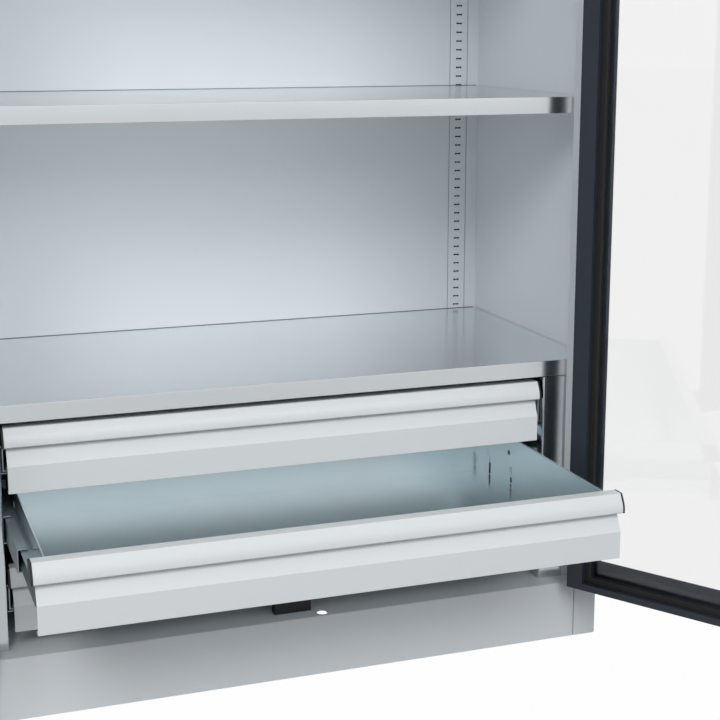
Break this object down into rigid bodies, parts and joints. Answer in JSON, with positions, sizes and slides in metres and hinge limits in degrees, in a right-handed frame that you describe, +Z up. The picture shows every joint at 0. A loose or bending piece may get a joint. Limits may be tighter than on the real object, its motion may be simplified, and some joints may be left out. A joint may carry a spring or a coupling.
{
  "type": "storage cabinet",
  "caption": "Steel storage cabinet on a plinth with glazed hinged doors, a rod lock, adjustable shelves and drawers on telescopic rails.",
  "frame": {"origin": "on the floor, under the middle of the cabinet body", "axes": "+Z up, doors and drawers open towards -Y, +X to the right of a person facing them"},
  "size_m": [1.4183, 0.9238, 1.95],
  "materials": {
    "side_panel_right": "fine light grey powder coat",
    "side_panel_left": "fine light grey powder coat",
    "back_panel": "fine light grey powder coat",
    "roof_panel": "fine light grey powder coat",
    "floor_panel": "fine light grey powder coat",
    "plinth_front": "fine light grey powder coat",
    "plinth_rear": "fine light grey powder coat",
    "rear_uprights": "fine light grey powder coat",
    "front_uprights": "fine light grey powder coat",
    "shelf_low": "smooth bright galvanised sheet",
    "shelf_middle": "smooth bright galvanised sheet",
    "shelf_high": "smooth bright galvanised sheet",
    "shelf_hooks": "zinc plated",
    "drawer_cover": "smooth bright galvanised sheet",
    "housing_side_right": "smooth bright galvanised sheet",
    "housing_side_left": "smooth bright galvanised sheet",
    "outer_rails": "zinc plated",
    "housing_screws": "zinc plated",
    "post_hinge_halves": "fine light grey powder coat",
    "hinge_pins": "zinc plated",
    "door_stops": "matt black",
    "levelling_feet": "matt black",
    "foot_brackets": "zinc plated",
    "door_right_frame": "fine anthracite powder coat",
    "door_right_pane": "clear acrylic",
    "door_right_seal": "matt black",
    "door_right_hinge_halves": "fine anthracite powder coat",
    "lock_plate": "matt black",
    "lock_cylinder": "polished",
    "rod_guides": "matt black",
    "lock_case": "zinc plated",
    "door_left_frame": "fine anthracite powder coat",
    "door_left_pane": "clear acrylic",
    "door_left_seal": "matt black",
    "door_left_hinge_halves": "fine anthracite powder coat",
    "meeting_strip": "fine anthracite powder coat",
    "lock_lever": "matt black",
    "lock_gear": "zinc plated",
    "lock_plug": "polished",
    "lock_rod_upper": "zinc plated",
    "lock_rod_lower": "zinc plated",
    "drawer_1_tray": "smooth bright galvanised sheet",
    "drawer_1_front": "fine light grey powder coat",
    "drawer_1_handle": "fine light grey powder coat",
    "drawer_1_caps": "matt black",
    "drawer_1_inner_rails": "zinc plated",
    "drawer_1_middle_rails": "zinc plated",
    "drawer_2_tray": "smooth bright galvanised sheet",
    "drawer_2_front": "fine light grey powder coat",
    "drawer_2_handle": "fine light grey powder coat",
    "drawer_2_caps": "matt black",
    "drawer_2_inner_rails": "zinc plated",
    "drawer_2_middle_rails": "zinc plated",
    "drawer_3_tray": "smooth bright galvanised sheet",
    "drawer_3_front": "fine light grey powder coat",
    "drawer_3_handle": "fine light grey powder coat",
    "drawer_3_caps": "matt black",
    "drawer_3_inner_rails": "zinc plated",
    "drawer_3_middle_rails": "zinc plated"
  },
  "bodies": {
    "cabinet": {"side_panel_right": "side_panel_right", "side_panel_left": "side_panel_left", "back_panel": "back_panel", "roof_panel": "roof_panel", "floor_panel": "floor_panel", "plinth_front": "plinth_front", "plinth_rear": "plinth_rear", "rear_uprights": "rear_uprights", "front_uprights": "front_uprights", "shelf_low": "shelf_low", "shelf_middle": "shelf_middle", "shelf_high": "shelf_high", "shelf_hooks": "shelf_hooks", "drawer_cover": "drawer_cover", "housing_side_right": "housing_side_right", "housing_side_left": "housing_side_left", "outer_rails": "outer_rails", "housing_screws": "housing_screws", "post_hinge_halves": "post_hinge_halves", "hinge_pins": "hinge_pins", "door_stops": "door_stops", "levelling_feet": "levelling_feet", "foot_brackets": "foot_brackets"},
    "door_right": {"door_right_frame": "door_right_frame", "door_right_pane": "door_right_pane", "door_right_seal": "door_right_seal", "door_right_hinge_halves": "door_right_hinge_halves", "lock_plate": "lock_plate", "lock_cylinder": "lock_cylinder", "rod_guides": "rod_guides", "lock_case": "lock_case"},
    "door_left": {"door_left_frame": "door_left_frame", "door_left_pane": "door_left_pane", "door_left_seal": "door_left_seal", "door_left_hinge_halves": "door_left_hinge_halves", "meeting_strip": "meeting_strip"},
    "lever": {"lock_lever": "lock_lever", "lock_gear": "lock_gear"},
    "key_plug": {"lock_plug": "lock_plug"},
    "rod_upper": {"lock_rod_upper": "lock_rod_upper"},
    "rod_lower": {"lock_rod_lower": "lock_rod_lower"},
    "drawer_1": {"drawer_1_tray": "drawer_1_tray", "drawer_1_front": "drawer_1_front", "drawer_1_handle": "drawer_1_handle", "drawer_1_caps": "drawer_1_caps", "drawer_1_inner_rails": "drawer_1_inner_rails"},
    "drawer_1_slides": {"drawer_1_middle_rails": "drawer_1_middle_rails"},
    "drawer_2": {"drawer_2_tray": "drawer_2_tray", "drawer_2_front": "drawer_2_front", "drawer_2_handle": "drawer_2_handle", "drawer_2_caps": "drawer_2_caps", "drawer_2_inner_rails": "drawer_2_inner_rails"},
    "drawer_2_slides": {"drawer_2_middle_rails": "drawer_2_middle_rails"},
    "drawer_3": {"drawer_3_tray": "drawer_3_tray", "drawer_3_front": "drawer_3_front", "drawer_3_handle": "drawer_3_handle", "drawer_3_caps": "drawer_3_caps", "drawer_3_inner_rails": "drawer_3_inner_rails"},
    "drawer_3_slides": {"drawer_3_middle_rails": "drawer_3_middle_rails"}
  },
  "joints": [
    {"name": "door_right_hinge", "type": "hinge", "parent": "cabinet", "child": "door_right", "pos_m": [0.461, -0.2545, 1], "axis": [0, 0, 1], "range_deg": [-34, 58]},
    {"name": "door_left_hinge", "type": "hinge", "parent": "cabinet", "child": "door_left", "pos_m": [-0.461, -0.2545, 1], "axis": [0, 0, -1], "range_deg": [-34, 58]},
    {"name": "lock_lever_turn", "type": "hinge", "parent": "door_right", "child": "lever", "pos_m": [0.67413, -0.62955, 1.02], "axis": [-0.848, -0.5299, 0], "range_deg": [0, 90]},
    {"name": "key_turn", "type": "hinge", "parent": "door_right", "child": "key_plug", "pos_m": [0.67413, -0.62955, 0.972], "axis": [-0.848, -0.5299, 0], "range_deg": [0, 90]},
    {"name": "lock_rod_upper_slide", "type": "slide", "parent": "door_right", "child": "rod_upper", "axis": [0, 0, 1], "range_m": [0, 0.018]},
    {"name": "lock_rod_lower_slide", "type": "slide", "parent": "door_right", "child": "rod_lower", "axis": [0, 0, -1], "range_m": [0, 0.018]},
    {"name": "drawer_1_slide", "type": "slide", "parent": "cabinet", "child": "drawer_1", "axis": [0, -1, 0], "range_m": [0, 0.4]},
    {"name": "drawer_1_rail_slide", "type": "slide", "parent": "cabinet", "child": "drawer_1_slides", "axis": [0, -1, 0], "range_m": [0, 0.2]},
    {"name": "drawer_2_slide", "type": "slide", "parent": "cabinet", "child": "drawer_2", "axis": [0, -1, 0], "range_m": [-0.264, 0.136]},
    {"name": "drawer_2_rail_slide", "type": "slide", "parent": "cabinet", "child": "drawer_2_slides", "axis": [0, -1, 0], "range_m": [-0.132, 0.068]},
    {"name": "drawer_3_slide", "type": "slide", "parent": "cabinet", "child": "drawer_3", "axis": [0, -1, 0], "range_m": [0, 0.4]},
    {"name": "drawer_3_rail_slide", "type": "slide", "parent": "cabinet", "child": "drawer_3_slides", "axis": [0, -1, 0], "range_m": [0, 0.2]}
  ],
  "couplings": [
    {"joint": "lock_rod_upper_slide", "follows": "lock_lever_turn", "m_per_rad": 0.011459},
    {"joint": "lock_rod_lower_slide", "follows": "lock_lever_turn", "m_per_rad": 0.011459},
    {"joint": "drawer_1_rail_slide", "follows": "drawer_1_slide", "ratio": 0.5},
    {"joint": "drawer_2_rail_slide", "follows": "drawer_2_slide", "ratio": 0.5},
    {"joint": "drawer_3_rail_slide", "follows": "drawer_3_slide", "ratio": 0.5}
  ]
}
